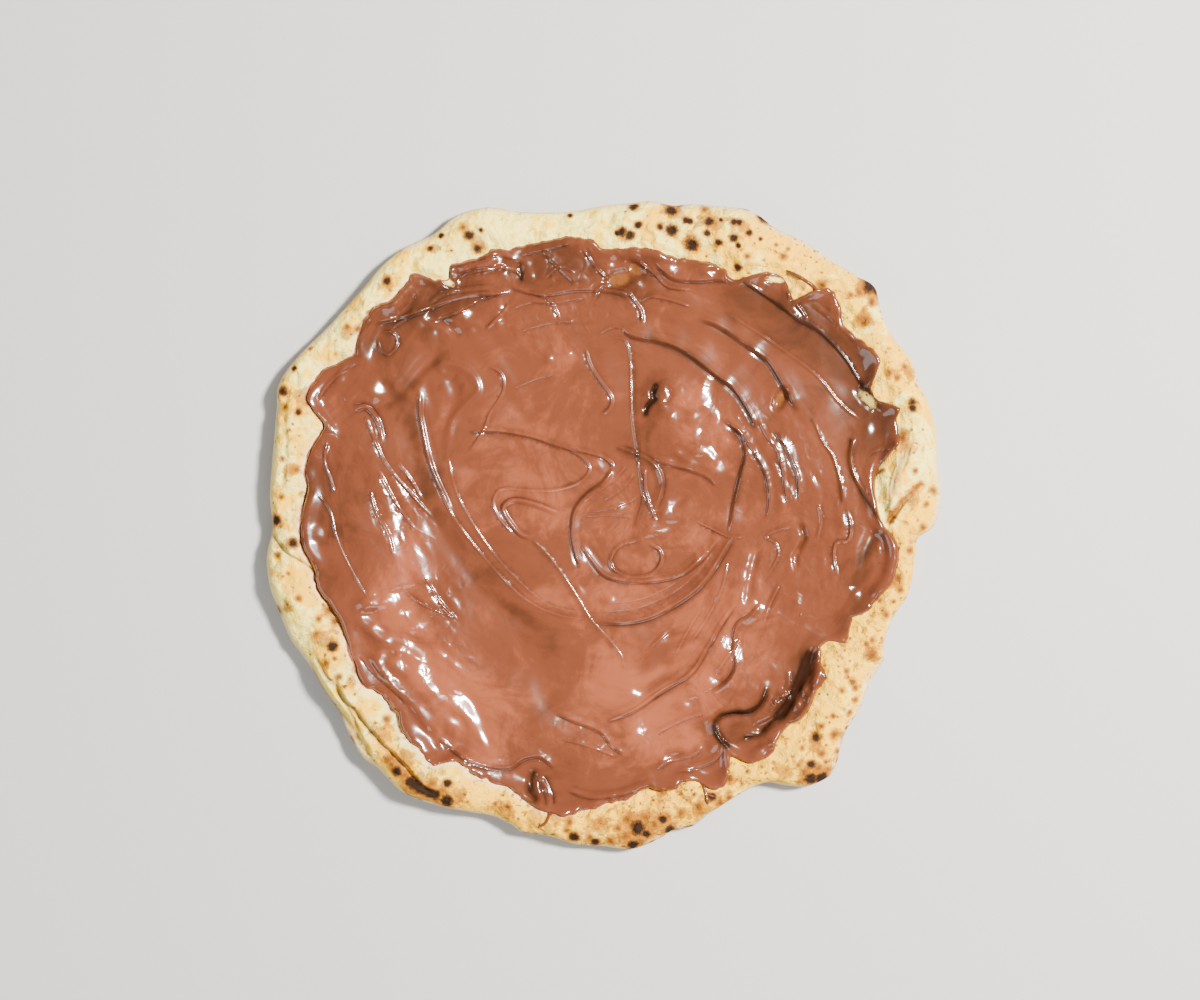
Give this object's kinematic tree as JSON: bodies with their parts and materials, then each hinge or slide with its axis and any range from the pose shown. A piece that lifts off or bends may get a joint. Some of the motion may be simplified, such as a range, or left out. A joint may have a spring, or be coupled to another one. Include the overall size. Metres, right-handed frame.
{
  "type": "focaccia",
  "caption": "Round flat focaccia bread with a puffy, uneven browned rim, covered with a thick, glossy, swirled chocolate-coloured spread.",
  "frame": {"origin": "bottom centre of the bounding box, on the flat underside", "axes": "+Z up from the flat underside; seen from above, +X points right and +Y up, as in the picture"},
  "size_m": [0.3196, 0.3064, 0.0208],
  "materials": {
    "bread": "matte, floury baked crust with toasted and charred spots",
    "chocolate_spread": "glossy, soft, smeared in swirls"
  },
  "bodies": {
    "root": {"bread": "bread", "chocolate_spread": "chocolate_spread"}
  },
  "joints": []
}
